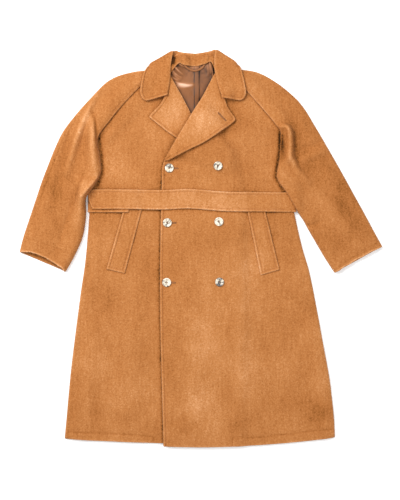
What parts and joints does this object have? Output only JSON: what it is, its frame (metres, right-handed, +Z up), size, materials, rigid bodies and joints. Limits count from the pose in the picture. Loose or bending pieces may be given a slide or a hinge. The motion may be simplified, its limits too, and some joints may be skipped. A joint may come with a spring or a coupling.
{
  "type": "raglan overcoat",
  "caption": "Long camel wool overcoat, double-breasted, with raglan sleeves, notched lapels, horn buttons, slanted welt pockets and its own belt, laid out flat on its back.",
  "frame": {"origin": "middle of the coat's outline, on the surface it lies on", "axes": "+X to the wearer's left, +Y from the hem to the collar, +Z up from the surface, so the front of the coat faces +Z"},
  "size_m": [1.084, 1.1914, 0.0378],
  "materials": {
    "camel_wool": "brushed wool coating with a raised nap",
    "lining_satin": "satin",
    "horn": "polished mottled horn"
  },
  "bodies": {
    "root": {"back": "camel_wool", "front_right": "camel_wool", "front_left": "camel_wool", "sleeve_right_front": "camel_wool", "sleeve_right_back": "camel_wool", "sleeve_left_front": "camel_wool", "sleeve_left_back": "camel_wool", "lapel_right": "camel_wool", "lapel_left": "camel_wool", "collar_right": "camel_wool", "collar_left": "camel_wool", "collar_stand": "camel_wool", "pocket_welt_right": "camel_wool", "pocket_welt_left": "camel_wool", "belt": "camel_wool", "lining": "lining_satin", "hanger_loop": "lining_satin", "button_right_top": "horn", "button_right_middle": "horn", "button_right_low": "horn", "button_left_top": "horn", "button_left_middle": "horn", "button_left_low": "horn"}
  },
  "joints": []
}
